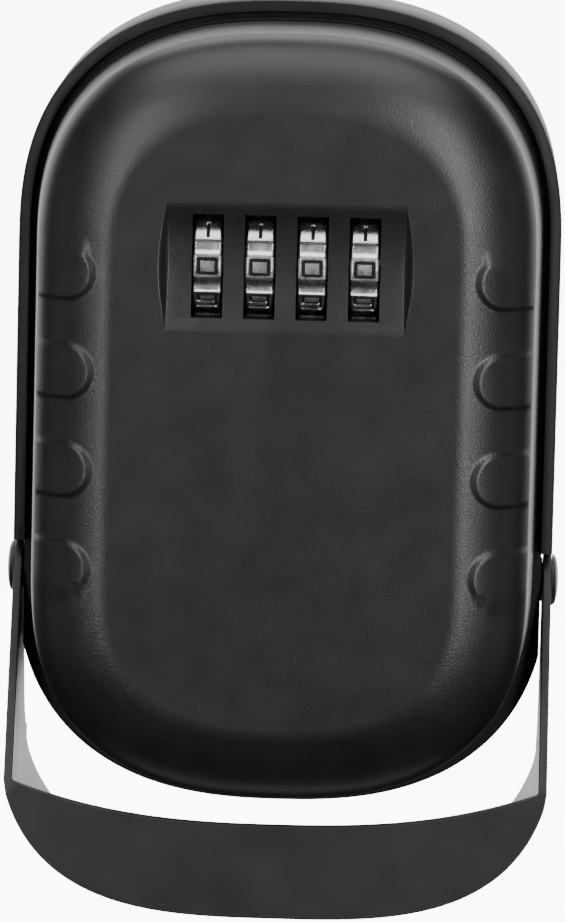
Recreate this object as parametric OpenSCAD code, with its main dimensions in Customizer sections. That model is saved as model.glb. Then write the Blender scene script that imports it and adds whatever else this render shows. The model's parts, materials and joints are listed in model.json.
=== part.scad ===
// Wall-mounted key lock box: a cast housing that screws to a wall, a pull-off
// front cover that carries a four-wheel combination lock, and a swing guard
// that hangs from two side rivets.
// X is to the right, Y runs into the wall (the wall is Y = 0, the front is
// negative), Z is up. The origin is the middle of the wall screw pattern.

/* [Case outline] */
// Half width of the front cover at its widest line
case_half_w = 40; // [36:0.5:44]
// Half height of the front cover
case_half_h = 62; // [58:0.2:68]
// Height of the rounded end that closes the case above and below
case_end_h = 35.5; // [32:0.5:38]
// Squareness of the rounded ends, where 2 is an ellipse
end_power = 2.5; // [2:0.1:3]
// Points on each end of an outline
end_points = 28; // [16:2:36]

/* [Depths] */
// Thickness of the rubber pad on the back
pad_t = 1.0; // [0.8:0.1:1.5]
// Thickness of the housing's back plate
back_t = 2.5; // [2:0.1:3.5]
// Depth of the housing, from the wall to its seam with the cover
seam_d = 22; // [21:0.5:24]
// How far the rain rim stands forward of the seam
rim_lip = 2.5; // [1.5:0.1:3]
// Depth of the whole case, from the wall to the flat front face
face_d = 48; // [47:0.5:50]
// Depth at which the cover's rounded shoulder begins
edge_d = 39.5; // [38:0.5:41]

/* [Cover] */
// Wall thickness of the cover
cover_wall = 2.0; // [1.6:0.1:2.4]
// Flare of the cover's skirt at its rear
skirt_flare = 0.8; // [0.4:0.1:1]
// Width of the rounded shoulder between the edge and the flat face
shoulder_w = 11.6; // [10:0.2:13]
// Height that the grip pads stand up
pad_rise = 0.5; // [0.3:0.1:0.8]
// Height of one grip pad
grip_h = 8.6; // [7:0.2:10]
// Distance from one grip pad to the next
grip_pitch = 15.9; // [14:0.1:17]

/* [Dials] */
// Number wheels
wheels = 4; // [4:1:4]
// Distance from one wheel to the next
wheel_pitch = 8.33; // [8.2:0.01:8.5]
// Radius of a number wheel
wheel_r = 9.7; // [9.4:0.1:9.9]
// Width of a number wheel
wheel_w = 4.4; // [4.2:0.1:4.5]
// Height of the wheels' axis above the origin
dial_z = 25.2; // [23:0.1:27]
// Depth of the wheels' axis
dial_d = 38; // [37.8:0.1:38.2]

/* [Swing guard] */
// Height of the side rivets below the origin
pivot_drop = 28.5; // [28:0.1:31]
// Depth of the side rivets
pivot_d = 18; // [17:0.1:19]
// Sheet thickness of the guard
guard_t = 1.4; // [1.2:0.1:1.6]
// Lowest point of the guard, below the origin
guard_drop = 82.2; // [80:0.1:84]
// Depth of the guard's front lip
guard_front_d = 39; // [38:0.1:40]
// Depth of the guard's rear edge
guard_rear_d = 1; // [0.5:0.1:2]

/* [Wall screws] */
// Sideways distance between the wall screw holes
screw_dx = 40; // [36:1:44]
// Vertical distance between the wall screw holes
screw_dz = 76; // [70:1:80]
// Radius of a wall screw hole
screw_r = 2.4; // [2:0.1:2.8]

/* [Hidden] */
$fn = 48;
eps = 0.01;
far_x = 60;                     // well outside the case, where cuts start and end
far_z = 90;

// outlines, as growth beyond the cover's widest line
pad_out = 0.6;                  // edge of the rear pad
tray_out = 3.7;                 // outside of the housing's wall
tray_in = -0.6;                 // inside of the housing's wall
rim_out = 4.05;                 // outside of the rain rim
rim_in = 2.05;                  // inside of the rain rim
flat_h = case_half_h - case_end_h;
floor_d = pad_t + back_t;       // depth of the key compartment's floor
foot_r = 4.6;                   // foot round each wall screw, flush with the pad

// cover
shoulder_end = 68;              // last angle of the shoulder's curve
shoulder_steps = 6;
skirt_d = seam_d + 0.6;         // rear edge of the cover
panel_x = 21.5;                 // thick panel behind the dials
panel_z = 12;
panel_d = 43.8;
pad_in = 30.6;                  // inner end of each grip pad
pad_shift = -0.3;               // middle of the row of grip pads

// swing guard
guard_x = case_half_w + rim_out;
leg_in = guard_x - guard_t;
leg_gap = 0.35;                 // from each leg to the flat beside it on the housing
flat_x = leg_in - leg_gap;
eye_r = 4.6;                    // round end of each leg
rim_end_z = -pivot_drop + eye_r + 0.6;  // lower end of the rain rim
pivot_r = 2.0;                  // rivet shank
clip_seat_x = case_half_w + tray_in - 0.55;  // middle of the flat seat for a rivet's clip
bow = 3.1;                      // exponent of the superellipse under the legs
bow_w = 45.6;                   // its half width
bow_h = 39.5;                   // its half height
bow_start = 20.7;               // its first angle, where the legs bend inwards
lip_top = 60.5;                 // lip's upper corners, below the origin
lip_sag = 6.2;                  // how far the lip's upper edge sags between them
flare_w = 11;                   // how far the legs flare out behind
flare_top = 38;                 // where the flare starts, below the origin
flare_h = 20;

// key hook and the two rivets that hold it
hook_z = 8;
hook_r = 1.2;
hook_d = 16;                    // depth of its upturned tip
hook_tip = 5;                   // height of the tip
hook_rivet_x = 3;
hook_rivet_r = 0.9;

// latch studs and the keyholes that they pass through
stud_x = 24.2;
stud_root_r = 1.6;
stud_neck_r = 1.2;
stud_head_r = 2.2;
keyhole_r = 2.5;
slot_half = 1.4;
slide_travel = 2.1;

// lock mechanism
slide_d = 27.8;                 // front of the lock slide
slide_t = 1.2;
slide_half_h = 4.5;
slide_half_w = 28.5;
chassis_d = 26.4;               // front of the chassis plate
chassis_t = 1.2;
chassis_half_w = 29;
lug_x = 19.5;
lug_t = 1.6;
lug_r = 3;
shaft_r = 1.5;
clip_x = 20.75;                 // groove and clip at each end of the shaft
clip_neck_r = 1.1;
rim_r = 5.4;                    // code sleeve's gated rim
neck_r = 3.3;
hub_r = 5.0;
key_w = 1.0;
tooth_w = 2.0;
tooth_t = 0.9;
rim_x = wheel_w / 2 + 1.55;     // rim's left face, from the wheel's middle
rim_t = 0.8;
key_l = 0.6;
key_out = 5.9;                  // outer radius of the sleeve's key
reset_travel = 0.8;
comb_z = 12.2;                  // bottom of the reset comb, below the axis
comb_t = 1.8;
fork_t = 0.5;                   // thickness of the comb's fingers
play = 0.15;
spring_t = 0.4;                 // detent spring sheet

// scooped dial panel
scoop_half_w = 19;
scoop_steps = 20;
scoop_half_h = 10.25;
scoop_deep = 1.6;
scoop_slope = 0.67;             // how far each end slopes out, per unit of depth
scoop_r = (scoop_half_h^2 + scoop_deep^2) / (2 * scoop_deep);
window_w = 5.0;
window_h = 16.6;

// screws inside the cover
boss_r = 2.4;
screw_core_r = 1.1;
chassis_holes = [for (x = [-24, 24], z = [-8.5, 8.5]) [x, dial_z + z]];
plate_holes = [[-14, 46], [14, 46], [-20, -44], [20, -44]];

function wheel_x(i) = (i - (wheels + 1) / 2) * wheel_pitch;

// upper end of the outline, from right to left: half of a superellipse
function upper_end(a, b) = [for (i = [0:end_points])
    let (t = 180 * i / end_points)
    [a * sign(cos(t)) * pow(abs(cos(t)), 2 / end_power),
     flat_h + b * pow(sin(t), 2 / end_power)]];

// closed outline with straight sides and rounded ends, grown by g
function outline(g) =
    let (top = upper_end(case_half_w + g, case_end_h + g))
    concat(top, [for (p = top) -p]);

// slab of the 2-D children between two depths
module slab(near_d, far_d) {
    translate([0, -far_d, 0]) rotate([90, 0, 0])
        linear_extrude(near_d - far_d) children();
}

module case_slab(g, near_d, far_d) slab(near_d, far_d) polygon(outline(g));

// round bar along Y, between two depths
module bar_y(r, x, z, near_d, far_d) {
    translate([x, -far_d, z]) rotate([90, 0, 0]) cylinder(r = r, h = near_d - far_d);
}

// round bar along X, from x0 to x1
module bar_x(r, x0, x1, d, z) {
    translate([x0, -d, z]) rotate([0, 90, 0]) cylinder(r = r, h = x1 - x0);
}

// box given by its x range, its depth range and its height range
module block(x, d, z) {
    translate([x[0], -d[0], z[0]]) cube([x[1] - x[0], d[0] - d[1], z[1] - z[0]]);
}

// solid through a stack of [growth, depth] outlines, rear first
module stack(layers) {
    n = len(outline(0));
    m = len(layers);
    points = [for (l = layers) for (p = outline(l[0])) [p[0], -l[1], p[1]]];
    walls = [for (j = [0:m - 2], i = [0:n - 1])
        let (k = (i + 1) % n) [j * n + i, (j + 1) * n + i, (j + 1) * n + k, j * n + k]];
    rear = [[for (i = [0:n - 1]) i]];
    front = [[for (i = [n - 1:-1:0]) (m - 1) * n + i]];
    polyhedron(points, concat(walls, rear, front), convexity = 4);
}

// ---------------------------------------------------------------- housing

module wall_screw_spots() {
    for (x = [-1, 1], z = [-1, 1]) translate([x * screw_dx / 2, 0, z * screw_dz / 2])
        children();
}

module back_housing() {
    color("#1b1b1d") difference() {
        union() {
            case_slab(tray_out, seam_d, pad_t);
            wall_screw_spots() bar_y(foot_r, 0, 0, pad_t + 1, 0);
            difference() {
                case_slab(rim_out, seam_d + rim_lip, pad_t);
                case_slab(rim_in, seam_d + rim_lip + 1, seam_d);
                // the rim ends above the guard's legs, which meet it when they swing up
                block([-far_x, far_x], [seam_d + 4, -1], [-far_z, rim_end_z]);
            }
        }
        // flats that the guard's legs swing beside
        for (x = [flat_x, -far_x])
            block([x, x + far_x - flat_x], [seam_d + 1, -1], [-far_z, rim_end_z]);
        // key compartment
        difference() {
            case_slab(tray_in, seam_d + 1, floor_d);
            for (s = [-1, 1]) bar_y(4, s * stud_x, dial_z, 8, floor_d - 1);
            bar_y(5, 0, hook_z, 5, floor_d - 1);
        }
        // gasket groove
        difference() {
            case_slab(1.1, seam_d + 1, seam_d - 0.8);
            case_slab(-0.1, seam_d + 2, seam_d - 2);
        }
        wall_screw_spots() bar_y(screw_r, 0, 0, floor_d + 1, 0);
        for (s = [-1, 1]) {
            bar_y(stud_root_r, s * stud_x, dial_z, 9, 0.5);
            bar_x(pivot_r + 0.03, s * case_half_w - 3, s * case_half_w + 3, pivot_d, -pivot_drop);
            bar_x(4.2, s * clip_seat_x - 0.6, s * clip_seat_x + 0.6, pivot_d, -pivot_drop);
            bar_y(hook_rivet_r, s * hook_rivet_x, hook_z, 6, 2.2);
        }
    }
}

module rear_pad() {
    color("#222222") difference() {
        case_slab(pad_out, pad_t, 0);
        wall_screw_spots() bar_y(foot_r + 0.1, 0, 0, 2, -1);
    }
}

module seam_gasket() {
    color("#101010") difference() {
        case_slab(1.05, seam_d + 0.4, seam_d - 0.8);
        case_slab(-0.05, seam_d + 1, seam_d - 2);
    }
}

module latch_studs() {
    color("silver") for (s = [-1, 1]) {
        bar_y(stud_root_r, s * stud_x, dial_z, 8, 1.5);
        bar_y(stud_neck_r, s * stud_x, dial_z, slide_d + 0.3, 8);
        bar_y(stud_head_r, s * stud_x, dial_z, slide_d + 1.5, slide_d + 0.3);
    }
}

module key_hook() {
    color("silver") difference() {
        union() {
            block([-4.6, 4.6], [6, 5], [hook_z - 3, hook_z + 3]);
            bar_y(hook_r, 0, hook_z, hook_d, 6);
            translate([0, -hook_d, hook_z]) {
                sphere(r = hook_r);
                cylinder(r = hook_r, h = hook_tip);
                translate([0, 0, hook_tip]) sphere(r = hook_r);
            }
        }
        for (s = [-1, 1]) bar_y(hook_rivet_r, s * hook_rivet_x, hook_z, 7, 4);
    }
}

module hook_rivets() {
    color("gray") for (s = [-1, 1]) {
        bar_y(hook_rivet_r - 0.02, s * hook_rivet_x, hook_z, 6.02, 2.4);
        bar_y(1.5, s * hook_rivet_x, hook_z, 6.6, 6);
    }
}

module rivet_spots() {
    for (s = [-1, 1]) translate([0, -pivot_d, -pivot_drop]) mirror([s < 0 ? 1 : 0, 0, 0])
        rotate([0, 90, 0]) children();
}

module guard_rivets() {
    dome_h = 1.1;
    dome_base = 4.2;
    dome_r = (dome_base^2 + dome_h^2) / (2 * dome_h);
    color("#202022") rivet_spots() {
        translate([0, 0, 37.4]) cylinder(r = pivot_r, h = guard_x + 0.1 - 37.4);
        intersection() {
            translate([0, 0, guard_x + 0.1]) cylinder(r = dome_base, h = dome_h + 1);
            translate([0, 0, guard_x + 0.1 + dome_h - dome_r]) sphere(r = dome_r);
        }
    }
}

module guard_spacers() {
    color("#2a2a2a") rivet_spots() translate([0, 0, flat_x])
        difference() {
            cylinder(r = 3.6, h = leg_gap - 0.1);
            translate([0, 0, -1]) cylinder(r = pivot_r + 0.03, h = 4);
        }
}

module rivet_clips() {
    color("silver") rivet_spots() translate([0, 0, clip_seat_x - 0.25]) difference() {
        cylinder(r = 3.8, h = 0.7);
        translate([0, 0, -1]) cylinder(r = pivot_r, h = 3);
        translate([-1.2, 1, -1]) cube([2.4, 4, 3]);
    }
}

// ------------------------------------------------------------- swing guard

// lower outline of the guard, grown inward by g, from the right leg to the left leg
function guard_bow(g) = [for (i = [-16:16])
    let (t = 90 - abs(i) / 16 * (90 - bow_start))
    [-sign(i) * (bow_w - g) * pow(cos(t), 2 / bow),
     -guard_drop + bow_h - (bow_h - g) * pow(sin(t), 2 / bow)]];

function guard_outline(g, top) = concat(
    [[guard_x - g, top], [guard_x - g, -lip_top]], guard_bow(g),
    [[-guard_x + g, -lip_top], [-guard_x + g, top]]);

function lip_edge() = [for (i = [0:20])
    let (u = 1 - i / 10)
    [u * (leg_in + eps), -lip_top - lip_sag * (1 - abs(u)^2.6)]];

// lower edge of the lip, from the left leg round to the right leg
function lip_root() = let (b = guard_bow(0.2)) [for (i = [len(b) - 1:-1:0]) b[i]];

// legs in side view: narrow at the rivets, the full depth of the case below
module leg_shape() {
    eye = [-pivot_d, -pivot_drop];
    corner = [-guard_front_d, -lip_top];
    reach = norm(corner - eye);
    along = (corner - eye) / reach;
    across = [along[1], -along[0]];
    touch = eye + eye_r * (eye_r / reach * along + sqrt(1 - (eye_r / reach)^2) * across);
    flare = [for (i = [6:-1:0]) let (t = 90 * i / 6)
        [-guard_rear_d - flare_w * cos(t), -flare_top - flare_h * sin(t)]];
    translate([-far_x, 0, 0]) rotate([90, 0, 90]) linear_extrude(2 * far_x) {
        translate(eye) circle(r = eye_r);
        polygon(concat(
            [touch, corner, [-guard_front_d, -guard_drop - 1], [-guard_rear_d, -guard_drop - 1]],
            flare, [eye + [eye_r * 0.99, 0], eye]));
    }
}

module swing_guard() {
    color("#28282a") difference() {
        union() {
            intersection() {
                slab(guard_front_d, guard_rear_d) difference() {
                    polygon(guard_outline(0, -20));
                    polygon(guard_outline(guard_t, -10));
                }
                leg_shape();
            }
            slab(guard_front_d, guard_front_d - guard_t)
                polygon(concat(lip_edge(), lip_root()));
        }
        bar_x(pivot_r + 0.05, -far_x, far_x, pivot_d, -pivot_drop);
    }
}

// ------------------------------------------------------------------- cover

// shoulder of the cover: an elliptical curve that stops short of flat
function shoulder(g) = [for (i = [1:shoulder_steps])
    let (t = shoulder_end * i / shoulder_steps)
    [g - shoulder_w * (1 - cos(t)) / (1 - cos(shoulder_end)),
     edge_d + (face_d - edge_d) * sin(t) / sin(shoulder_end)]];

// outside of the cover; lift raises the shoulder, from nothing at its outer edge
module cover_solid(lift) {
    raised = [for (i = [1:shoulder_steps])
        let (t = shoulder_end * i / shoulder_steps, s = shoulder(0)[i - 1])
        [s[0] + lift * sin(t) * cos(t), s[1] + lift * sin(t)^2]];
    stack(concat(
        [[skirt_flare, skirt_d], [skirt_flare, skirt_d + 6.4], [0, edge_d]], raised));
}

module cover_hollow() {
    w = cover_wall;
    inner = [for (s = shoulder(-w)) [s[0], s[1] - w]];
    stack(concat(
        [[skirt_flare - w, seam_d], [skirt_flare - w, skirt_d + 6.4], [-w, edge_d - w / 2]],
        inner));
}

module grip_pads() {
    for (s = [-1, 1], k = [-1.5:1:1.5])
        translate([s * pad_in, 0, k * grip_pitch + pad_shift]) slab(face_d + 1, edge_d + 0.5) {
            translate([s * grip_h / 2, 0]) circle(r = grip_h / 2);
            translate([s > 0 ? grip_h / 2 : -20, -grip_h / 2])
                square([20 - grip_h / 2, grip_h]);
        }
}

// scoop: a wide cylinder whose ends slope outwards by the same amount all the way up
module scoop() {
    n = scoop_steps;
    points = [for (j = [0:n])
        let (z = scoop_half_h * (2 * j / n - 1), rise = scoop_r - sqrt(scoop_r^2 - z^2),
             deep = scoop_deep - rise, wide = scoop_half_w + scoop_slope * (deep + 1))
        for (p = [[-wide, 1], [wide, 1], [scoop_half_w, -deep], [-scoop_half_w, -deep]])
            [p[0], -face_d - p[1], dial_z + z]];
    walls = [for (j = [0:n - 1], i = [0:3])
        let (k = (i + 1) % 4) [4 * j + i, 4 * j + 4 + i, 4 * j + 4 + k, 4 * j + k]];
    polyhedron(points, concat(walls, [[0, 1, 2, 3], [for (i = [3:-1:0]) 4 * n + i]]),
        convexity = 2);
}

module front_cover() {
    color("#232325") difference() {
        union() {
            difference() {
                union() {
                    cover_solid(0);
                    intersection() {
                        cover_solid(pad_rise);
                        grip_pads();
                    }
                }
                cover_hollow();
            }
            // thick panel behind the dial scoop
            block([-panel_x, panel_x], [face_d - 1, panel_d],
                [dial_z - panel_z, dial_z + panel_z]);
            for (p = chassis_holes) bar_y(boss_r, p[0], p[1], face_d - 1, chassis_d);
            for (p = plate_holes) bar_y(boss_r, p[0], p[1], face_d - 1, seam_d + 2.1);
        }
        scoop();
        for (i = [1:wheels])
            block([wheel_x(i) - window_w / 2, wheel_x(i) + window_w / 2],
                [face_d + 1, 40], [dial_z - window_h / 2, dial_z + window_h / 2]);
        for (p = chassis_holes) bar_y(screw_core_r, p[0], p[1], face_d - 8, chassis_d - 1);
        for (p = plate_holes) bar_y(screw_core_r, p[0], p[1], face_d - 14, seam_d);
    }
}

// -------------------------------------------------------------------- lock

module lock_chassis() {
    color("#8f9296") difference() {
        union() {
            block([-chassis_half_w, chassis_half_w], [chassis_d, chassis_d - chassis_t],
                [dial_z - 10, dial_z + 13]);
            for (s = [-1, 1]) {
                block([s * lug_x - lug_t / 2, s * lug_x + lug_t / 2],
                    [dial_d + 1, chassis_d - chassis_t], [dial_z - 7.5, dial_z + 7.5]);
                bar_x(lug_r, s * lug_x - lug_t / 2, s * lug_x + lug_t / 2, dial_d, dial_z);
                block([s * lug_x - lug_t / 2, s * lug_x + lug_t / 2],
                    [dial_d + 2.6, dial_d - 2.6], [dial_z - 14, dial_z]);
            }
        }
        // ways for the lock slide and the reset comb through the lugs
        block([-far_x, far_x], [slide_d + 0.3, chassis_d], [dial_z - 4.9, dial_z + 4.9]);
        block([-far_x, far_x], [dial_d + 1.5 + play, dial_d - 1.5 - play],
            [dial_z - comb_z - play, dial_z - comb_z + comb_t + play]);
        bar_x(shaft_r + 0.03, -far_x, far_x, dial_d, dial_z);
        for (s = [-1, 1]) bar_y(stud_head_r + 0.6, s * stud_x, dial_z, 30, 20);
        for (p = chassis_holes) bar_y(screw_core_r + 0.1, p[0], p[1], 30, 20);
    }
}

module screws_at(spots, far_d, near_d) {
    for (p = spots) difference() {
        union() {
            bar_y(screw_core_r - 0.02, p[0], p[1], near_d, far_d - 0.5);
            bar_y(2.1, p[0], p[1], far_d, far_d - 1);
        }
        for (a = [0, 90]) translate([p[0], -far_d + 0.55, p[1]]) rotate([0, a, 0])
            cube([0.5, 1, 2.6], center = true);
    }
}

module chassis_screws() color("silver") screws_at(chassis_holes, chassis_d - chassis_t, 36);

module back_plate_screws() color("silver") screws_at(plate_holes, seam_d + 0.9, 32);

module dial_shaft() {
    color("silver") difference() {
        bar_x(shaft_r, -22, 22, dial_d, dial_z);
        for (s = [-1, 1]) difference() {
            bar_x(2, s * clip_x - 0.35, s * clip_x + 0.35, dial_d, dial_z);
            bar_x(clip_neck_r, -far_x, far_x, dial_d, dial_z);
        }
    }
}

module shaft_clips() {
    color("#6d7075") for (s = [-1, 1]) difference() {
        bar_x(2.9, s * clip_x - 0.3, s * clip_x + 0.3, dial_d, dial_z);
        bar_x(clip_neck_r + 0.02, -far_x, far_x, dial_d, dial_z);
        block([s * clip_x - 1, s * clip_x + 1], [dial_d + 4, dial_d], [dial_z - 0.9, dial_z + 0.9]);
    }
}

module detent_spring() {
    color("#a9a59a") {
        z = [dial_z + wheel_r + 0.2, dial_z + wheel_r + 0.2 + spring_t];
        for (i = [1:wheels]) block([wheel_x(i) - 1.7, wheel_x(i) + 1.7], [dial_d + 3, 30], z);
        block([-17, 17], [30, chassis_d], z);
        block([-17, 17], [chassis_d + spring_t, chassis_d], [z[0], z[1] + 2.5]);
    }
}

module lock_back_plate() {
    color("#3a3b3d") difference() {
        case_slab(skirt_flare - cover_wall - 0.3, seam_d + 2.1, seam_d + 0.9);
        for (s = [-1, 1]) bar_y(stud_head_r + 0.6, s * stud_x, dial_z, 30, 20);
        for (p = plate_holes) bar_y(screw_core_r + 0.1, p[0], p[1], 30, 20);
        block([-3 - reset_travel - 0.5, 3.5], [30, 20],
            [dial_z - comb_z - 0.3, dial_z - comb_z + comb_t + 0.3]);
    }
}

// bar with four teeth; shifted left it locks, as drawn it is released
module lock_slide() {
    color("#b9bcc0") difference() {
        union() {
            block([-slide_half_w, slide_half_w], [slide_d, slide_d - slide_t],
                [dial_z - slide_half_h, dial_z + slide_half_h]);
            for (i = [1:wheels])
                block([wheel_x(i) + rim_x + rim_t + 0.2, wheel_x(i) + rim_x + rim_t + 0.2 + tooth_t],
                    [dial_d - neck_r - 0.4, slide_d - 0.5],
                    [dial_z - tooth_w / 2, dial_z + tooth_w / 2]);
        }
        for (s = [-1, 1]) {
            bar_y(keyhole_r, s * stud_x, dial_z, 30, 20);
            block([s * stud_x, s * stud_x + slide_travel], [30, 20],
                [dial_z - slot_half, dial_z + slot_half]);
            bar_y(slot_half, s * stud_x + slide_travel, dial_z, 30, 20);
        }
    }
}

// comb whose fork fingers hold each code sleeve's rim from both sides
module reset_lever() {
    z = [dial_z - comb_z, dial_z - comb_z + comb_t];
    color("#c8c8c8") {
        block([-20.5, 21], [dial_d + 1.5, dial_d - 1.5], z);
        block([-3, 3], [dial_d, seam_d - 0.8], z);
        for (i = [1:wheels], x = [rim_x - play - fork_t, rim_x + rim_t + play])
            block([wheel_x(i) + x, wheel_x(i) + x + fork_t],
                [dial_d + 1.5, dial_d - 1.5], [dial_z - comb_z + 1, dial_z - neck_r - 0.5]);
    }
}

// number wheel with ten pads; its bore has a keyway on the right, and beside it
// a groove where the sleeve's key turns freely
module number_wheel(i) {
    half = wheel_w / 2;
    groove = half - 2 * key_l - 0.3;
    color("#d9dadd") translate([wheel_x(i), -dial_d, dial_z]) rotate([0, 90, 0])
        difference() {
            translate([0, 0, -half]) cylinder(r = wheel_r, h = wheel_w, $fn = 96);
            for (k = [0:9]) rotate([0, 0, 36 * k]) translate([wheel_r + 0.9, 0, -5])
                cylinder(r = 1.5, h = 10);
            translate([0, 0, -5]) cylinder(r = hub_r + 0.05, h = 10);
            translate([0, 0, groove]) cylinder(r = key_out + 0.2, h = key_l + 0.2);
            translate([-key_out - 0.1, -key_w / 2 - 0.05, groove])
                cube([hub_r, key_w + 0.1, 5]);
        }
}

// code sleeve: keyed hub inside the wheel, and a rim with one gate beside it
module code_sleeve(i) {
    half = wheel_w / 2;
    color("#b08d3c") translate([wheel_x(i), -dial_d, dial_z]) rotate([0, 90, 0])
        difference() {
            union() {
                translate([0, 0, -1.3]) cylinder(r = hub_r, h = half + 1.3);
                cylinder(r = neck_r, h = rim_x + 0.1);
                translate([0, 0, rim_x]) cylinder(r = rim_r, h = rim_t);
                translate([-key_out, -key_w / 2, half - key_l]) cube([hub_r, key_w, key_l]);
            }
            translate([0, 0, -5]) cylinder(r = shaft_r + 0.05, h = 20);
            rotate([0, 0, 90]) translate([neck_r + 0.05, -tooth_w / 2 - 0.3, rim_x - 0.3])
                cube([5, tooth_w + 0.6, rim_t + 0.6]);
        }
}

module number_wheel_1() number_wheel(1);
module number_wheel_2() number_wheel(2);
module number_wheel_3() number_wheel(3);
module number_wheel_4() number_wheel(4);
module code_sleeve_1() code_sleeve(1);
module code_sleeve_2() code_sleeve(2);
module code_sleeve_3() code_sleeve(3);
module code_sleeve_4() code_sleeve(4);

back_housing();
rear_pad();
seam_gasket();
latch_studs();
key_hook();
hook_rivets();
guard_rivets();
guard_spacers();
rivet_clips();
swing_guard();
front_cover();
lock_chassis();
chassis_screws();
dial_shaft();
shaft_clips();
detent_spring();
lock_back_plate();
back_plate_screws();
lock_slide();
reset_lever();
number_wheel_1();
number_wheel_2();
number_wheel_3();
number_wheel_4();
code_sleeve_1();
code_sleeve_2();
code_sleeve_3();
code_sleeve_4();
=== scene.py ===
"""Key lock box: the looks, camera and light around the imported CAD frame.

The cover, the housing, the swing guard, its rivets and the number wheels get finer
meshes that follow the CAD nodes' places. Every other node keeps its CAD shape.
All lengths are in metres.
"""
import json
import math

import bmesh
import bpy
import numpy as np
from mathutils import Matrix, Vector


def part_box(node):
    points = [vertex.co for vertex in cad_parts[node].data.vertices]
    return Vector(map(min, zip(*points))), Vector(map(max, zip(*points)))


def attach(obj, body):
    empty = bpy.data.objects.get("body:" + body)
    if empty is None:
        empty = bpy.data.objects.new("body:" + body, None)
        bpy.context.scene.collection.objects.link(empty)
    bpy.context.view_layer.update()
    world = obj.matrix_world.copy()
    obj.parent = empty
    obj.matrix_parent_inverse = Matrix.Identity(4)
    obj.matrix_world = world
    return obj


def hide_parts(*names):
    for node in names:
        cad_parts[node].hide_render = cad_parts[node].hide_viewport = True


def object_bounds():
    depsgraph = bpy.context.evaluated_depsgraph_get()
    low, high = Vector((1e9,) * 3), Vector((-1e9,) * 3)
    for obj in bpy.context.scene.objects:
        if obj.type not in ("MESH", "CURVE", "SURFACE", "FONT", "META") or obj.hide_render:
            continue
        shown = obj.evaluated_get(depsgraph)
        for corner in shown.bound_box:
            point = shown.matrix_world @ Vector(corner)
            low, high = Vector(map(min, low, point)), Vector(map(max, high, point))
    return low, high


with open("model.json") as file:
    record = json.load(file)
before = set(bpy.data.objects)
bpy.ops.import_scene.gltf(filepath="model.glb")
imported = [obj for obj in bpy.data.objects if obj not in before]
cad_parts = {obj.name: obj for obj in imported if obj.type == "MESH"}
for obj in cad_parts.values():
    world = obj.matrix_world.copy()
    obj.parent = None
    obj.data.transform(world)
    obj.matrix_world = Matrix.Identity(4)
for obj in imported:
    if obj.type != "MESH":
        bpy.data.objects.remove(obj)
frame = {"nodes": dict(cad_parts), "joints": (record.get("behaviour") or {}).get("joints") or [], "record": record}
cad_lo, cad_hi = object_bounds()
MM = 0.001

# ------------------------------------------------------------ places from the frame
cover_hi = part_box("front_cover")[1]
house_lo, house_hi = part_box("back_housing")
guard_lo, guard_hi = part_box("swing_guard")
joints = {j["name"]: j for j in frame["joints"]}
mounts = {m["name"]: m for m in frame["record"]["mounts"]}
pivot = Vector(joints["guard_swing"]["pos_m"])
axis_1 = Vector(joints["dial_1_turn"]["pos_m"])

CASE_W = 40 * MM                        # half width at the cover's widest line
END_H = 35.5 * MM                       # height of the rounded end above and below
END_POWER = 2.5                         # squareness of the rounded ends, where 2 is an ellipse
SKIRT_FLARE = 0.8 * MM                  # how far the skirt stands out beyond that line
SKIRT_H = 6.4 * MM                      # height of the skirt's straight band
CASE_H = cover_hi.z - SKIRT_FLARE       # half height at the widest line
FACE = 48 * MM                          # depth of the flat front face
EDGE = FACE - 8.5 * MM                  # depth where the shoulder starts
SHOULDER_W = 11.6 * MM                  # width of the shoulder, from the edge to the flat face
SHOULDER_END = math.radians(68)         # last angle of the shoulder's curve
CREASE_R = 1.0 * MM                     # reach of the rounded crease round the flat face
SKIRT = -cover_hi.y                     # depth of the cover's rear edge
WALL = 2 * MM                           # thickness of the cover
PANEL_W, PANEL_H = 21.5 * MM, 12 * MM   # half sizes of the thick panel behind the windows
PANEL_BACK = 43.8 * MM                  # depth of the panel's rear face
WINDOW_W, WINDOW_H = 2.5 * MM, 8.3 * MM  # half sizes of a window
LINE_W, LINE_H = 16 * MM, 0.4 * MM      # half sizes of the index line
LINE_DEEP = 1.63 * MM                   # its floor, behind the flat face
PAD_RISE = 0.5 * MM                     # height that a grip pad stands up
PAD_IN = 30.6 * MM                      # inner end of a pad
PAD_H = 8.6 * MM                        # height of a pad
PAD_PITCH = 15.9 * MM                   # from one pad to the next
PAD_SHIFT = -0.3 * MM                   # middle of the row of pads
PAD_EDGE = 0.75 * MM                    # width of a pad's rounded edge
SIDE_STEPS, END_STEPS = 150, 110        # points on each straight side and each end
FAR_X, FAR_Z = 60 * MM, 90 * MM         # well outside the case, where cuts start and end


# ------------------------------------------------------------------- mesh helpers
def outline(g, sides=SIDE_STEPS, ends=END_STEPS):
    """Outline with straight sides and superellipse ends, grown by g: N x 2 array of x, z."""
    a, b, flat = CASE_W + g, END_H + g, CASE_H - END_H
    t = np.linspace(0, math.pi, ends + 1)
    c, s = np.cos(t), np.maximum(np.sin(t), 0)
    power = 2 / END_POWER
    top = np.stack([a * np.sign(c) * np.abs(c) ** power, flat + b * s ** power], 1)
    up = np.linspace(-flat, flat, sides + 1)[1:-1]
    right = np.stack([np.full_like(up, a), up], 1)
    return np.concatenate([right, top, -right, -top])


def new_object(name, verts, faces):
    mesh = bpy.data.meshes.new(name)
    mesh.from_pydata([tuple(v) for v in verts], [], [tuple(f) for f in faces])
    mesh.validate()
    work = bmesh.new()
    work.from_mesh(mesh)
    bmesh.ops.recalc_face_normals(work, faces=work.faces)
    work.to_mesh(mesh)
    work.free()
    obj = bpy.data.objects.new(name, mesh)
    bpy.context.scene.collection.objects.link(obj)
    return obj


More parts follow.
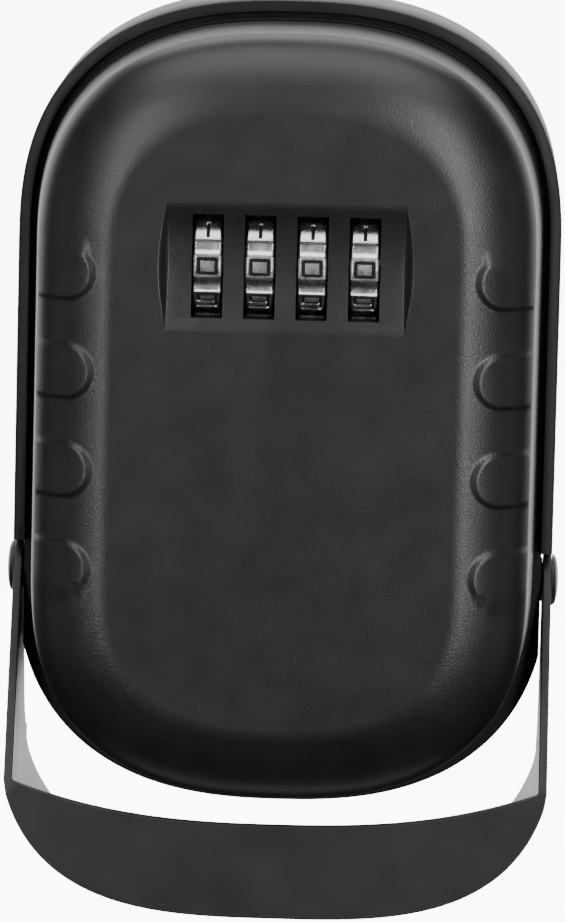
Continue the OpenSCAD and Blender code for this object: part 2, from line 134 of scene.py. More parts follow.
def loft(name, rings):
    """Closed solid through equal rings of x, y, z points, with a flat cap at each end."""
    n, m = len(rings[0]), len(rings)
    faces = [(j * n + i, j * n + (i + 1) % n, (j + 1) * n + (i + 1) % n, (j + 1) * n + i)
             for j in range(m - 1) for i in range(n)]
    faces += [tuple(range(n)), tuple((m - 1) * n + i for i in range(n))]
    return new_object(name, np.concatenate(rings), faces)


def ring_at(points, depth):
    return np.stack([points[:, 0], np.full(len(points), -depth), points[:, 1]], 1)


def case_loft(name, layers, sides=24, ends=72):
    """Solid through (growth, depth) outlines of the case."""
    return loft(name, [ring_at(outline(g, sides, ends), d) for g, d in layers])


def prism(name, points, axis, start, end):
    """Polygon pushed along X ("x": points are y, z) or Y ("y": points are x, z)."""
    p = np.array(points, float)
    rings = []
    for at in (start, end):
        fill = np.full(len(p), at)
        columns = [fill, p[:, 0], p[:, 1]] if axis == "x" else [p[:, 0], fill, p[:, 1]]
        rings.append(np.stack(columns, 1))
    return loft(name, rings)


def circle(r, centre, steps=64):
    return [(centre[0] + r * math.cos(2 * math.pi * i / steps),
             centre[1] + r * math.sin(2 * math.pi * i / steps)) for i in range(steps)]


def x_rod(r, x, half, at):
    """Round tool along X: radius, middle, half length, and the y, z of its axis."""
    return prism("tool", circle(r, at, 48), "x", x - half, x + half)


def y_rod(r, x, z, start, end, steps=48):
    """Round tool along Y: radius, the x, z of its axis, and its two ends."""
    return prism("tool", circle(r, (x, z), steps), "y", start, end)


def box_tool(lo, hi):
    """Block between two corners."""
    square = [(lo[0], lo[2]), (hi[0], lo[2]), (hi[0], hi[2]), (lo[0], hi[2])]
    return prism("tool", square, "y", lo[1], hi[1])


def apply_modifiers(obj):
    bpy.context.view_layer.update()
    shape = obj.evaluated_get(bpy.context.evaluated_depsgraph_get())
    mesh = bpy.data.meshes.new_from_object(shape)
    obj.modifiers.clear()
    obj.data = mesh


def combine(target, tool, how):
    """Boolean of two closed meshes; the tool is used up."""
    step = target.modifiers.new("step", "BOOLEAN")
    step.object, step.operation, step.solver = tool, how, "EXACT"
    apply_modifiers(target)
    bpy.data.objects.remove(tool)
    return target


def cut(target, *tools):
    """Cuts each tool out of the target."""
    for tool in tools:
        combine(target, tool, "DIFFERENCE")
    return target


def add(target, tool):
    return combine(target, tool, "UNION")


def shade(obj, angle=30):
    """Smooth shading, with the edges sharper than the angle kept sharp."""
    for face in obj.data.polygons:
        face.use_smooth = True
    obj.data.set_sharp_from_angle(angle=math.radians(angle))


def round_edges(obj, width, angle=35, segments=3):
    """Rounds the sharp edges in the mesh itself, and keeps flat faces flat in the shading."""
    bevel = obj.modifiers.new("round", "BEVEL")
    bevel.width, bevel.segments, bevel.limit_method = width, segments, "ANGLE"
    bevel.angle_limit = math.radians(angle)
    bevel.use_clamp_overlap = True
    apply_modifiers(obj)
    shade(obj, 40)
    flat = obj.modifiers.new("flat", "WEIGHTED_NORMAL")
    flat.weight, flat.keep_sharp = 100, True
    apply_modifiers(obj)


def give(obj, body, node, slot, *looks):
    """Sets a new piece's materials and the body it rides on, and hides the CAD node it stands for."""
    obj.data.materials.clear()
    for look in looks:
        obj.data.materials.append(look)
    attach(obj, body)
    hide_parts(node)


# ---------------------------------------------------------------------- materials
def look(name, dark, light, grain, rough, metallic=0.0, bump=0.1, bump_grain=None,
         rough_spread=0.06, stretch=(1, 1, 1), specular=0.5):
    """Finish whose colour and roughness drift with one noise, and whose grain is a finer one."""
    mat = bpy.data.materials.new(name)
    mat.use_nodes = True
    nodes, links = mat.node_tree.nodes, mat.node_tree.links
    shader = nodes["Principled BSDF"]
    shader.inputs["Metallic"].default_value = metallic
    shader.inputs["Specular IOR Level"].default_value = specular
    place = nodes.new("ShaderNodeTexCoord")
    scale = nodes.new("ShaderNodeMapping")
    scale.inputs["Scale"].default_value = stretch
    links.new(place.outputs["Object"], scale.inputs["Vector"])

    def noise(size, detail):
        node = nodes.new("ShaderNodeTexNoise")
        node.inputs["Scale"].default_value = size
        node.inputs["Detail"].default_value = detail
        links.new(scale.outputs["Vector"], node.inputs["Vector"])
        return node

    drift = noise(grain, 4)
    colours = nodes.new("ShaderNodeValToRGB")
    colours.color_ramp.elements[0].position = 0.3
    colours.color_ramp.elements[0].color = (*dark, 1)
    colours.color_ramp.elements[1].position = 0.7
    colours.color_ramp.elements[1].color = (*light, 1)
    links.new(drift.outputs["Fac"], colours.inputs["Fac"])
    links.new(colours.outputs["Color"], shader.inputs["Base Color"])
    spread = nodes.new("ShaderNodeMapRange")
    spread.inputs["To Min"].default_value = rough - rough_spread
    spread.inputs["To Max"].default_value = rough + rough_spread
    links.new(drift.outputs["Fac"], spread.inputs["Value"])
    links.new(spread.outputs["Result"], shader.inputs["Roughness"])
    fine = noise(bump_grain or grain * 6, 2)
    relief = nodes.new("ShaderNodeBump")
    relief.inputs["Strength"].default_value = bump
    relief.inputs["Distance"].default_value = 0.05 * MM
    links.new(fine.outputs["Fac"], relief.inputs["Height"])
    links.new(relief.outputs["Normal"], shader.inputs["Normal"])
    return mat


def grey(v, warm=0.0):
    """Grey of value v, turned towards yellow by warm."""
    return (v * (1 + warm), v, v * (1 - warm))


LOOKS = {
    "cast_cover": look("cover_coating", grey(0.006), grey(0.009), 180, 0.36, bump=0.7,
                       bump_grain=3000, rough_spread=0.04),
    "cast_housing": look("housing_coating", grey(0.004), grey(0.007), 180, 0.42, bump=0.5,
                         bump_grain=3000, specular=0.2),
    "guard_steel": look("guard_coating", grey(0.012), grey(0.016), 120, 0.4, bump=0.25,
                        bump_grain=2500),
    "pad_rubber": look("pad_rubber", grey(0.012), grey(0.02), 300, 0.8, bump=0.4),
    "gasket_rubber": look("gasket_rubber", grey(0.006), grey(0.011), 300, 0.7, bump=0.3),
    "plated_steel": look("plated_steel", grey(0.45), grey(0.6), 220, 0.3, 1.0, bump=0.15,
                         stretch=(1, 1, 6)),
    "rivet_steel": look("rivet_black", grey(0.008), grey(0.014), 250, 0.32, bump=0.15),
    "spacer_plastic": look("spacer_plastic", grey(0.01), grey(0.015), 250, 0.6, bump=0.2),
    "lock_plate": look("lock_plate", grey(0.3), grey(0.42), 160, 0.38, 1.0, bump=0.2,
                       stretch=(8, 1, 1)),
    "spring_steel": look("spring_steel", grey(0.35, 0.05), grey(0.5, 0.05), 250, 0.3, 1.0),
    "cast_wheel": look("wheel_metal", grey(0.5), grey(0.75), 600, 0.28, 1.0, bump=0.5,
                       bump_grain=2200, rough_spread=0.08),
    "sleeve_brass": look("sleeve_brass", (0.5, 0.33, 0.1), (0.66, 0.46, 0.17), 300, 0.3, 1.0),
}
figure_paint = look("figure_paint", grey(0.003), grey(0.006), 900, 0.7, bump=0.2, specular=0.25)
for part in frame["record"]["subparts"]:
    data = frame["nodes"][part["node"]].data
    data.materials.clear()
    data.materials.append(LOOKS[part["material_slot"]])


# -------------------------------------------------------------------- front cover
def smooth_step(x):
    x = np.clip(x, 0, 1)
    return x * x * (3 - 2 * x)


def pad_mask(x, z):
    """1 on a grip pad, 0 off it, with a rounded edge between: x, z are arrays."""
    height = np.zeros_like(x)
    half = PAD_H / 2
    for k in (-1.5, -0.5, 0.5, 1.5):
        dz = z - (k * PAD_PITCH + PAD_SHIFT)
        dx = np.minimum(np.abs(x) - (PAD_IN + half), 0)
        inside = half - np.hypot(dx, dz)
        height = np.maximum(height, smooth_step(inside / PAD_EDGE + 0.5))
    return height


def shoulder(t, inset=0.0):
    """Growth and depth at angle t on the cover's shoulder."""
    return (-inset - SHOULDER_W * (1 - math.cos(t)) / (1 - math.cos(SHOULDER_END)),
            EDGE - inset + (FACE - EDGE) * math.sin(t) / math.sin(SHOULDER_END))


def cover_rings():
    """Outlines of the cover from its rear edge, up the skirt and the shoulder, to the face."""
    soft = 0.3 * MM
    rings = [ring_at(outline(g), d) for g, d in (
        (SKIRT_FLARE - soft, SKIRT), (SKIRT_FLARE, SKIRT + soft),
        (SKIRT_FLARE, SKIRT + SKIRT_H), (SKIRT_FLARE * 0.5, (SKIRT + SKIRT_H + EDGE) / 2),
        (0.06 * MM, EDGE - 0.8 * MM))]
    for t in np.linspace(0, SHOULDER_END, 50):
        g, d = shoulder(t)
        if g < -SHOULDER_W + CREASE_R:
            break
        start = g, d
        ring = ring_at(outline(g), d)
        lift = PAD_RISE * math.sin(t) * pad_mask(ring[:, 0], ring[:, 2])
        ring[:, 0] += np.sign(ring[:, 0]) * lift * math.cos(t)
        ring[:, 1] -= lift * math.sin(t)
        rings.append(ring)
    for u in np.linspace(0, 1, 9)[1:]:  # rounded crease, from the shoulder into the face
        g = (1 - u) ** 2 * start[0] - 2 * u * (1 - u) * SHOULDER_W - u * u * (SHOULDER_W + CREASE_R)
        d = (1 - u) ** 2 * start[1] + (1 - (1 - u) ** 2) * FACE
        rings.append(ring_at(outline(g), d))
    return rings


def scoop_tool():
    """Shallow scoop, curved up and down, whose sloped ends have rounded edges."""
    deep, half_h, half_w = 1.55 * MM, 9.9 * MM, 19 * MM
    slope, ease = 0.67, 0.25            # run of each end per depth, and its rounded edges' extra
    soft, lift = 0.2 * MM, 0.04 * MM    # rounding of the upper and lower edges
    reach = half_h * math.sqrt(1 - (lift - soft * soft / (4 * lift)) / deep)
    fall = np.linspace(0, 1, 15)
    rings = []
    for z in np.linspace(-0.999 * reach, 0.999 * reach, 101):
        sag = deep * (1 - (z / half_h) ** 2)
        here = (sag + math.sqrt(sag * sag + soft * soft)) / 2 - lift
        x = half_w + here * (slope + ease) - fall * here * (slope + 2 * ease)
        d = here * smooth_step(fall) - 0.004 * MM
        half = [(x[0], -MM)] + list(zip(x, d))
        rings.append(np.array([(side * px, -FACE + pd, axis_1.z + z) for side, points in (
            (1, half), (-1, half[::-1])) for px, pd in points]))
    return loft("tool", rings)


def mark_flat(obj, y):
    """Keeps a flat face flat: the crease round it stays sharp."""
    mesh = obj.data
    work = bmesh.new()
    work.from_mesh(mesh)
    for edge in work.edges:
        on = [abs(f.normal.y) > 0.99999 and abs(f.calc_center_median().y - y) < 1e-6
              for f in edge.link_faces]
        if any(on) and not all(on):
            edge.smooth = False
    work.to_mesh(mesh)
    work.free()


def make_cover():
    cover = loft("cover_shell", cover_rings())
    hollow = [(SKIRT_FLARE - WALL, SKIRT - MM), (SKIRT_FLARE - WALL, SKIRT + SKIRT_H),
              (-WALL, EDGE - WALL / 2)]
    hollow += [shoulder(t, WALL) for t in np.linspace(SHOULDER_END / 6, SHOULDER_END, 6)]
    cut(cover, case_loft("tool", hollow))
    middle_z = axis_1.z
    add(cover, box_tool((-PANEL_W, -FACE + MM, middle_z - PANEL_H),
                        (PANEL_W, -PANEL_BACK, middle_z + PANEL_H)))
    cut(cover, scoop_tool())
    # index line across the scoop, level with the wheels' axis
    cut(cover, box_tool((-LINE_W, -FACE + MM, middle_z - LINE_H),
                        (LINE_W, -FACE + LINE_DEEP, middle_z + LINE_H)))
    for i in range(1, 5):
        x = joints[f"dial_{i}_turn"]["pos_m"][0]
        cut(cover, box_tool((x - WINDOW_W, -FACE - MM, middle_z - WINDOW_H),
                            (x + WINDOW_W, -40 * MM, middle_z + WINDOW_H)))
    shade(cover, 28)
    mark_flat(cover, -FACE)
    give(cover, "cover", "front_cover", "cast_cover", LOOKS["cast_cover"])


make_cover()


# ----------------------------------------------------------------- number wheels
WHEEL_R = 9.7 * MM
WHEEL_W = 4.4 * MM
FIGURES = 10
STEP = 2 * math.pi / FIGURES            # angle from one figure to the next
PAD_POINTS, ACROSS = 64, 45             # points round one pad's share of the rim, and across it
BORE_R = 5.05 * MM
KEY_R, KEY_HALF = 6.0 * MM, 0.55 * MM   # keyway's outer radius and half width
KEY_AT = 0.7 * MM                       # where the keyway's groove starts, from the middle
PAD_HALF = 1.85 * MM                    # half height of a figure's pad
PAD_STEP, SADDLE = 0.34 * MM, 0.36 * MM  # step down beside a pad, and the saddle's further dip
SOFT_EDGE, EDGE_DROP = 0.25 * MM, 0.22 * MM     # rounded edges of the pads and the rim
ENGRAVED, STROKE_SOFT = 0.3 * MM, 0.12 * MM     # depth of a figure, and its sides' slope
PAINTED = 0.2 * MM                      # the paint fills a figure below this depth
STROKE = 0.24 * MM                      # half width of an engraved line
FIGURE = (1.4 * MM, 1.15 * MM)          # half width and half height of a figure's lines
STROKES = {                             # corners of each figure's lines, as shares of FIGURE
    0: [[(-1, -1), (1, -1), (1, 1), (-1, 1), (-1, -1)]],
    1: [[(0, -1), (0, 1)]],
    2: [[(-1, 1), (1, 1), (1, 0), (-1, 0), (-1, -1), (1, -1)]],
    3: [[(-1, 1), (1, 1), (1, -1), (-1, -1)], [(-0.3, 0), (1, 0)]],
    4: [[(-1, 1), (-1, 0), (1, 0)], [(1, 1), (1, -1)]],
    5: [[(1, 1), (-1, 1), (-1, 0), (1, 0), (1, -1), (-1, -1)]],
    6: [[(1, 1), (-1, 1), (-1, -1), (1, -1), (1, 0), (-1, 0)]],
    7: [[(-1, 1), (1, 1), (-0.2, -1)]],
    8: [[(-1, -1), (1, -1), (1, 1), (-1, 1), (-1, -1)], [(-1, 0), (1, 0)]],
    9: [[(1, 0), (-1, 0), (-1, 1), (1, 1), (1, -1), (-1, -1)]],
}


def stroke_distance(figure, u, v):
    """Distance from each point u, v on a pad to the lines of a figure."""
    best = np.full(u.shape, 1.0)
    for line in STROKES[figure]:
        p = np.array(line) * FIGURE
        for a, b in zip(p[:-1], p[1:]):
            d = b - a
            t = np.clip(((u - a[0]) * d[0] + (v - a[1]) * d[1]) / (d @ d), 0, 1)
            best = np.minimum(best, np.hypot(u - a[0] - t * d[0], v - a[1] - t * d[1]))
    return best


def wheel_rim(cx, cy, cz):
    """Rows of points round a wheel's rim, each row across it, and which points are painted."""
    half = WHEEL_W / 2
    along = np.linspace(-half, half, ACROSS)
    rim = EDGE_DROP * smooth_step((np.abs(along) - half + SOFT_EDGE) / SOFT_EDGE)
    span = STEP / 2 * WHEEL_R - PAD_HALF
    verts, paint = [], []
    for k in range(FIGURES):
        for s in range(PAD_POINTS):
            a = (s / PAD_POINTS - 0.5) * STEP               # angle from the pad's middle
            angle = STEP * k + a                            # 0 faces the front, up is positive
            v = a * WHEEL_R
            off = abs(v) - PAD_HALF
            saddle = PAD_STEP * smooth_step(off / SOFT_EDGE + 0.5)
            if off > 0:
                saddle += SADDLE * (1 - ((span - off) / span) ** 2)
            d = stroke_distance(k, along, np.full(ACROSS, v))
            carve = ENGRAVED * (1 - smooth_step((d - STROKE) / STROKE_SOFT + 0.5))
            r = WHEEL_R - saddle - carve - rim
            verts.append(np.stack([cx + along, cy - r * math.cos(angle), cz + r * math.sin(angle)], 1))
            paint.append(carve > PAINTED)
    return verts, np.array(paint)


def make_wheel(i):
    """Wheel with ten pads: engraved figures, smooth saddles between the pads."""
    cx, cy, cz = joints[f"dial_{i}_turn"]["pos_m"]
    half = WHEEL_W / 2
    verts, paint = wheel_rim(cx, cy, cz)
    n = len(verts)
    faces, dark = [], []
    for j in range(n):
        k = (j + 1) % n
        for s in range(ACROSS - 1):
            a, b = j * ACROSS + s, k * ACROSS + s
            faces.append((a, a + 1, b + 1, b))
            dark.append(paint[j, s] and paint[j, s + 1] and paint[k, s] and paint[k, s + 1])
    base, last = n * ACROSS, ACROSS - 1
    angles = [(j / PAD_POINTS - 0.5) * STEP for j in range(n)]
    for side in (-half, half):
        verts.append(np.array([(cx + side, cy - BORE_R * math.cos(a), cz + BORE_R * math.sin(a))
                               for a in angles]))
    for j in range(n):
        k = (j + 1) % n
        faces.append((j * ACROSS, k * ACROSS, base + k, base + j))
        faces.append((j * ACROSS + last, k * ACROSS + last, base + n + k, base + n + j))
        faces.append((base + j, base + k, base + n + k, base + n + j))
    wheel = new_object(f"wheel_{i}_figures", np.concatenate(verts), faces)
    shade(wheel, 40)
    give(wheel, f"wheel_{i}", f"number_wheel_{i}", "cast_wheel", LOOKS["cast_wheel"], figure_paint)
    for face, is_dark in zip(wheel.data.polygons, dark + [False] * (3 * n)):
        face.material_index = int(is_dark)
    # groove and keyway that the code sleeve's key turns and slides in
    cut(wheel, prism("tool", circle(KEY_R + 0.1 * MM, (cy, cz), 64), "x",
                     cx + KEY_AT, cx + KEY_AT + 0.8 * MM),
        box_tool((cx + KEY_AT, cy - KEY_HALF, cz), (cx + half + MM, cy + KEY_HALF, cz + KEY_R)))


for wheel_number in range(1, 5):
    make_wheel(wheel_number)


# ------------------------------------------------------------------- swing guard
GUARD_X = guard_hi.x                    # outer face of the legs
GUARD_T = 1.4 * MM                      # sheet thickness
GUARD_FRONT, GUARD_REAR = -guard_lo.y, -guard_hi.y
GUARD_BOTTOM = guard_lo.z
BOW, BOW_W, BOW_H = 3.1, 45.6 * MM, 39.5 * MM    # superellipse under the legs
BOW_START = math.radians(20.7)          # where the legs bend inwards
LIP_TOP, LIP_SAG = 60.5 * MM, 6.2 * MM  # the lip's upper corners, and the sag between them
LIP_POWER = 2.6                         # squareness of that sag
FLARE, FLARE_TOP, FLARE_H = 11 * MM, 38 * MM, 20 * MM   # curve of the legs' rear edges
EYE_R = 4.6 * MM                        # round end of each leg
EYE_HOLE_R = 2.05 * MM
RIVET_R = 2 * MM


def guard_curve(g, top, steps=48):
    """Outline of the guard, grown inward by g, from the right leg's top to the left leg's."""
    power = 2 / BOW
    bow = [((BOW_W - g) * math.cos(t) ** power,
            GUARD_BOTTOM + BOW_H - (BOW_H - g) * math.sin(t) ** power)
           for t in np.linspace(BOW_START, math.pi / 2 - 1e-6, steps)]
    half = [(GUARD_X - g, top), (GUARD_X - g, -LIP_TOP)] + bow[:-1]
    return half + [(0, GUARD_BOTTOM + g)] + [(-x, z) for x, z in reversed(half)]


def guard_side():
    """Side view of the guard, as y, z: round eye, sloped front, flared rear."""
    eye = Vector((pivot.y, pivot.z))
    corner = Vector((-GUARD_FRONT, -LIP_TOP))
    reach = (corner - eye).length
    along = (corner - eye) / reach
    across = Vector((along.y, -along.x))
    touch = eye + EYE_R * (EYE_R / reach * along + math.sqrt(1 - (EYE_R / reach) ** 2) * across)
    start = math.atan2(touch.y - eye.y, touch.x - eye.x)
    flare = [(-GUARD_REAR - FLARE * math.cos(t), -FLARE_TOP - FLARE_H * math.sin(t))
             for t in np.linspace(math.pi / 2, 0, 20)]
    arc = [(eye.x + EYE_R * math.cos(t), eye.y + EYE_R * math.sin(t))
           for t in np.linspace(0, start if start > 0 else start + 2 * math.pi, 40)]
    foot = [(-GUARD_FRONT, GUARD_BOTTOM - MM), (-GUARD_REAR, GUARD_BOTTOM - MM)]
    return arc + [tuple(corner)] + foot + flare


def make_guard():
    guard = prism("guard_sheet", guard_curve(0, -20 * MM), "y", -GUARD_FRONT, -GUARD_REAR)
    lip_edge = [(u * (GUARD_X - GUARD_T), -LIP_TOP - LIP_SAG * (1 - abs(u) ** LIP_POWER))
                for u in np.linspace(1, -1, 60)]
    opening = lip_edge + [(-GUARD_X + GUARD_T, -10 * MM), (GUARD_X - GUARD_T, -10 * MM)]
    cut(guard, prism("tool", opening, "y", -GUARD_FRONT - MM, -GUARD_FRONT + GUARD_T + MM))
    cut(guard, prism("tool", guard_curve(GUARD_T, -10 * MM), "y",
                     -GUARD_FRONT + GUARD_T, -GUARD_REAR + MM))
    combine(guard, prism("tool", guard_side(), "x", -FAR_X, FAR_X), "INTERSECT")
    cut(guard, x_rod(EYE_HOLE_R, 0, FAR_X, (pivot.y, pivot.z)))
    round_edges(guard, 0.4 * MM)
    give(guard, "guard", "swing_guard", "guard_steel", LOOKS["guard_steel"])


make_guard()


# ---------------------------------------------------------------------- housing
PAD_T = 1.0 * MM                        # rubber pad behind the housing
FLOOR = PAD_T + 2.5 * MM                # depth of the key compartment's floor
SEAM = 22 * MM                          # depth of the housing's front edge
RIM_FRONT = -house_lo.y                 # depth of the rain rim's front edge
TRAY_OUT, TRAY_IN = 3.7 * MM, -0.6 * MM  # outside and inside of the wall
RIM_IN, RIM_OUT = 2.05 * MM, house_hi.x - CASE_W    # inside and outside of the rim
RIM_END = pivot.z + EYE_R + 0.6 * MM    # the rim ends above the guard's legs
LEG_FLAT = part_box("guard_spacers")[1].x - 0.25 * MM     # flats behind the rivets' washers
GROOVE_OUT, GROOVE_IN = 1.1 * MM, -0.1 * MM     # gasket groove
CLIP_SEAT_R, CLIP_SEAT = 4.2 * MM, 38.85 * MM   # flat seats for the rivets' clips
STUD_R, STUD_HEAD_R = 1.6 * MM, 2.2 * MM
HOOK_RIVET_R, HOOK_RIVET_X = 0.9 * MM, 3 * MM
STUD_BOSS, HOOK_BOSS = (4 * MM, 8 * MM), (5 * MM, 5 * MM)   # radius of each boss, depth of its top
FOOT_R = 4.6 * MM                       # foot round each wall screw
SCREWS = mounts["wall_screws"]["dims"]


def rim_ring():
    """Rain rim round the top and sides, with softened edges."""
    soft = 0.5 * MM
    rim = case_loft("tool", [
        (RIM_OUT - soft, PAD_T), (RIM_OUT - soft * 0.3, PAD_T + soft * 0.3), (RIM_OUT, PAD_T + soft),
        (RIM_OUT, RIM_FRONT - soft), (RIM_OUT - soft * 0.3, RIM_FRONT - soft * 0.3),
        (RIM_OUT - soft, RIM_FRONT)])
    cut(rim, case_loft("tool", [(RIM_IN, SEAM), (RIM_IN, RIM_FRONT - 0.2 * MM),
                                (RIM_IN + 0.4 * MM, RIM_FRONT + 0.2 * MM)]))
    return cut(rim, box_tool((-FAR_X, -SEAM - 4 * MM, -FAR_Z), (FAR_X, MM, RIM_END)))


def make_housing():
    soft = 0.5 * MM
    body = case_loft("housing_case", [
        (TRAY_OUT - soft, PAD_T), (TRAY_OUT, PAD_T + soft), (TRAY_OUT, SEAM)])
    screw_spots = [(sx * SCREWS["spacing_x_mm"] * MM, sz * SCREWS["spacing_y_mm"] * MM)
                   for sx in (-0.5, 0.5) for sz in (-0.5, 0.5)]
    for x, z in screw_spots:
        add(body, y_rod(FOOT_R, x, z, -2 * MM, 0))
    add(body, rim_ring())
    for side in (-1, 1):                # flats that the guard's legs swing beside
        near, far = sorted((side * LEG_FLAT, side * FAR_X))
        cut(body, box_tool((near, -SEAM - 4 * MM, -FAR_Z), (far, MM, RIM_END)))
    # key compartment, with the bosses for the studs and the hook left standing
    stud_lo, stud_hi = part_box("latch_studs")
    stud_x, stud_z = stud_hi.x - STUD_HEAD_R, (stud_lo.z + stud_hi.z) / 2
    hook_lo, hook_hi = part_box("hook_rivets")
    hook_z = (hook_lo.z + hook_hi.z) / 2
    room = case_loft("tool", [(TRAY_IN, SEAM + MM), (TRAY_IN, FLOOR)])
    for x in (-stud_x, stud_x):
        cut(room, y_rod(STUD_BOSS[0], x, stud_z, -STUD_BOSS[1], -FLOOR + MM))
    cut(room, y_rod(HOOK_BOSS[0], 0, hook_z, -HOOK_BOSS[1], -FLOOR + MM))
    cut(body, room)
    groove = case_loft("tool", [(GROOVE_OUT, SEAM + MM), (GROOVE_OUT, SEAM - 0.8 * MM)])
    cut(groove, case_loft("tool", [(GROOVE_IN, SEAM + 2 * MM), (GROOVE_IN, SEAM - 2 * MM)]))
    cut(body, groove)
    for x, z in screw_spots:
        cut(body, y_rod(SCREWS["hole_r_mm"] * MM, x, z, -5 * MM, MM))
    for side in (-1, 1):
        cut(body, x_rod(RIVET_R, side * 41 * MM, 3 * MM, (pivot.y, pivot.z)),
            x_rod(CLIP_SEAT_R, side * CLIP_SEAT, 0.6 * MM, (pivot.y, pivot.z)),
            y_rod(STUD_R, side * stud_x, stud_z, -9 * MM, -0.5 * MM, 40),
            y_rod(HOOK_RIVET_R, side * HOOK_RIVET_X, hook_z, -6 * MM, -2.2 * MM, 32))
    shade(body, 30)
    give(body, "housing", "back_housing", "cast_housing", LOOKS["cast_housing"])


make_housing()


# ------------------------------------------------------------------- side rivets
def make_rivets():
    """Turned rivets: a shallow dome with a small land round it, and the plain shank."""
    lo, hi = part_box("guard_rivets")
    head_r = (hi.z - lo.z) / 2
    dome_r = head_r - 0.15 * MM
    tip, seat = 37.4 * MM, GUARD_X + 0.1 * MM
    land = seat + 0.32 * MM
    profile = [(tip, 0.0), (tip, RIVET_R - 0.1 * MM), (tip + 0.1 * MM, RIVET_R), (seat, RIVET_R),
               (seat, head_r), (seat + 0.25 * MM, head_r), (land, dome_r)]
    profile += [(land + (hi.x - land) * math.cos(t), dome_r * math.sin(t))
                for t in np.linspace(math.radians(80), math.radians(5), 14)]
    profile.append((hi.x, 0.0))
    turns = [2 * math.pi * k / 64 for k in range(64)]
    for sign, side in ((-1, "left"), (1, "right")):
        rings = [np.array([(sign * x, pivot.y + max(r, 1e-6) * math.cos(t),
                            pivot.z + max(r, 1e-6) * math.sin(t)) for t in turns])
                 for x, r in profile]
        rivet = loft(f"guard_rivet_{side}", rings)
        shade(rivet, 35)
        give(rivet, "housing", "guard_rivets", "rivet_steel", LOOKS["rivet_steel"])


make_rivets()


# ------------------------------------------------------ studio, light and camera
FLOOR_DROP = 0.12                       # from the part's lowest point down to the floor
ROOM_R, ROOM_TOP, ROOM_TURN, ROOM_STEPS = 2.4, 3.0, 0.5, 48
BACKDROP_GLOW = 9
WORLD_LIGHT = 0.02
AIM = (0, -20 * MM, 0)                  # middle of the case, which every light faces
LIGHTS = [                              # name, place, width, height, power in watts
    ("top_softbox", (0, -0.4, 0.8), 1.0, 0.6, 6.5),
    ("rear_top_softbox", (0, 0.45, 0.85), 1.0, 0.6, 6.5),
    ("rear_wall_softbox", (0, 0.95, 0.12), 1.6, 0.9, 11),
    ("front_softbox", (0, -1.5, 0.2), 1.2, 1.2, 0.08),
    ("low_softbox", (0, 0.15, -0.8), 0.8, 0.4, 1.0),
]
for side, strip, rear in ((-1, 4.0, 3.0), (1, 6.0, 2.2)):
    LIGHTS += [
        (f"side_softbox_{side}", (side * 0.38, -0.85, 0.15), 0.1, 0.8, strip),
        (f"wide_softbox_{side}", (side * 0.8, -0.35, -0.1), 0.4, 0.6, 0.35),
        (f"rear_softbox_{side}", (side * 0.72, 0.42, 0.25), 0.45, 0.8, rear),
    ]
TARGET = Vector((0, -EDGE, -6.9 * MM))
AZIMUTH, ELEVATION, ROLL = math.radians(1.3), math.radians(8.3), math.radians(1.36)
DISTANCE = 1.05
LONG_SIDE_FOV = math.radians(8.07)


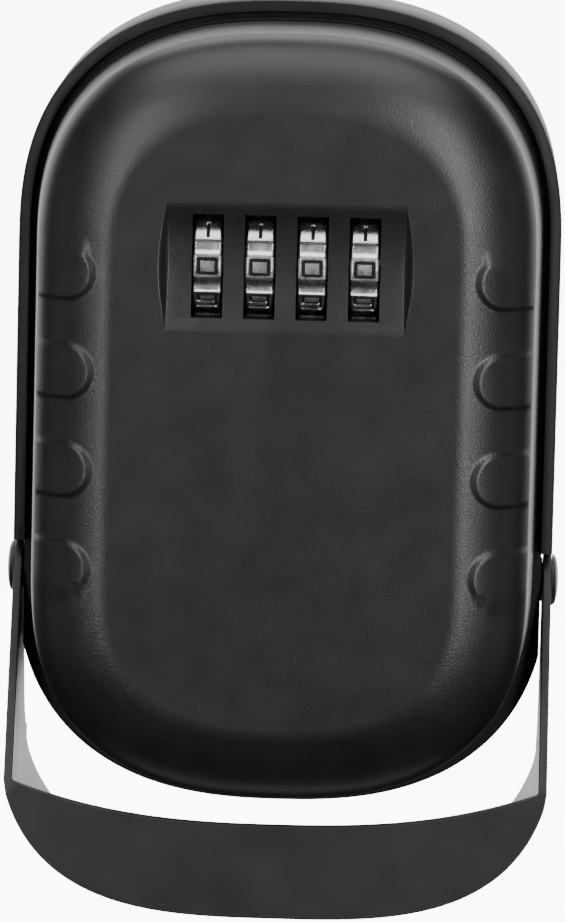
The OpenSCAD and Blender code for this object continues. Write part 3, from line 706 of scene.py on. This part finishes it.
def make_studio():
    """Round room, pale from every side, whose floor curves up into the wall."""
    floor_z = cad_lo.z - FLOOR_DROP
    bend = ROOM_R - ROOM_TURN
    profile = [(0.0, floor_z), (bend, floor_z)]
    profile += [(bend + ROOM_TURN * math.sin(t), floor_z + ROOM_TURN * (1 - math.cos(t)))
                for t in np.linspace(math.radians(6), math.radians(90), 15)]
    profile.append((ROOM_R, ROOM_TOP))
    turns = [2 * math.pi * k / ROOM_STEPS for k in range(ROOM_STEPS)]
    verts = [(r * math.cos(t), r * math.sin(t), z) for r, z in profile for t in turns]
    faces = []
    for at in range(0, (len(profile) - 1) * ROOM_STEPS, ROOM_STEPS):
        for k in range(ROOM_STEPS):
            near, far = at + k, at + (k + 1) % ROOM_STEPS
            faces.append((near, far, far + ROOM_STEPS, near + ROOM_STEPS))
    backdrop = new_object("backdrop", verts, faces)
    shade(backdrop, 60)
    white = look("backdrop_white", grey(0.9108), grey(0.92), 3, 0.7, bump=0.0)
    shader = white.node_tree.nodes["Principled BSDF"]
    shader.inputs["Emission Color"].default_value = (1, 1, 1, 1)
    shader.inputs["Emission Strength"].default_value = BACKDROP_GLOW
    backdrop.data.materials.append(white)
    backdrop.visible_diffuse = False    # bright behind the object, without lighting it
    backdrop.visible_glossy = False
    backdrop.visible_shadow = False


def make_world():
    """Faint even light from all round."""
    world = bpy.data.worlds.new("studio")
    bpy.context.scene.world = world
    world.use_nodes = True
    background = world.node_tree.nodes["Background"]
    background.inputs["Color"].default_value = (1, 1, 1, 1)
    background.inputs["Strength"].default_value = WORLD_LIGHT


def area_light(name, place, width, height, power):
    data = bpy.data.lights.new(name, "AREA")
    data.shape, data.size, data.size_y, data.energy = "RECTANGLE", width, height, power
    light = bpy.data.objects.new(name, data)
    bpy.context.scene.collection.objects.link(light)
    light.location = place
    light.visible_camera = False
    light.rotation_mode = "QUATERNION"
    light.rotation_quaternion = (Vector(AIM) - Vector(place)).to_track_quat("-Z", "Y")


def make_camera():
    """Camera at DISTANCE from TARGET, slightly above it and to the right."""
    data = bpy.data.cameras.new("camera")
    data.sensor_width = 36
    data.lens = data.sensor_width / (2 * math.tan(LONG_SIDE_FOV / 2))
    camera = bpy.data.objects.new("camera", data)
    bpy.context.scene.collection.objects.link(camera)
    back = Vector((math.sin(AZIMUTH) * math.cos(ELEVATION),
                   -math.cos(AZIMUTH) * math.cos(ELEVATION), math.sin(ELEVATION)))
    roll = Matrix.Rotation(ROLL, 4, "Z").to_quaternion()
    camera.location = TARGET + back * DISTANCE
    camera.rotation_mode = "QUATERNION"
    camera.rotation_quaternion = (-back).to_track_quat("-Z", "Y") @ roll
    bpy.context.scene.camera = camera


make_studio()
make_world()
for light in LIGHTS:
    area_light(*light)
make_camera()
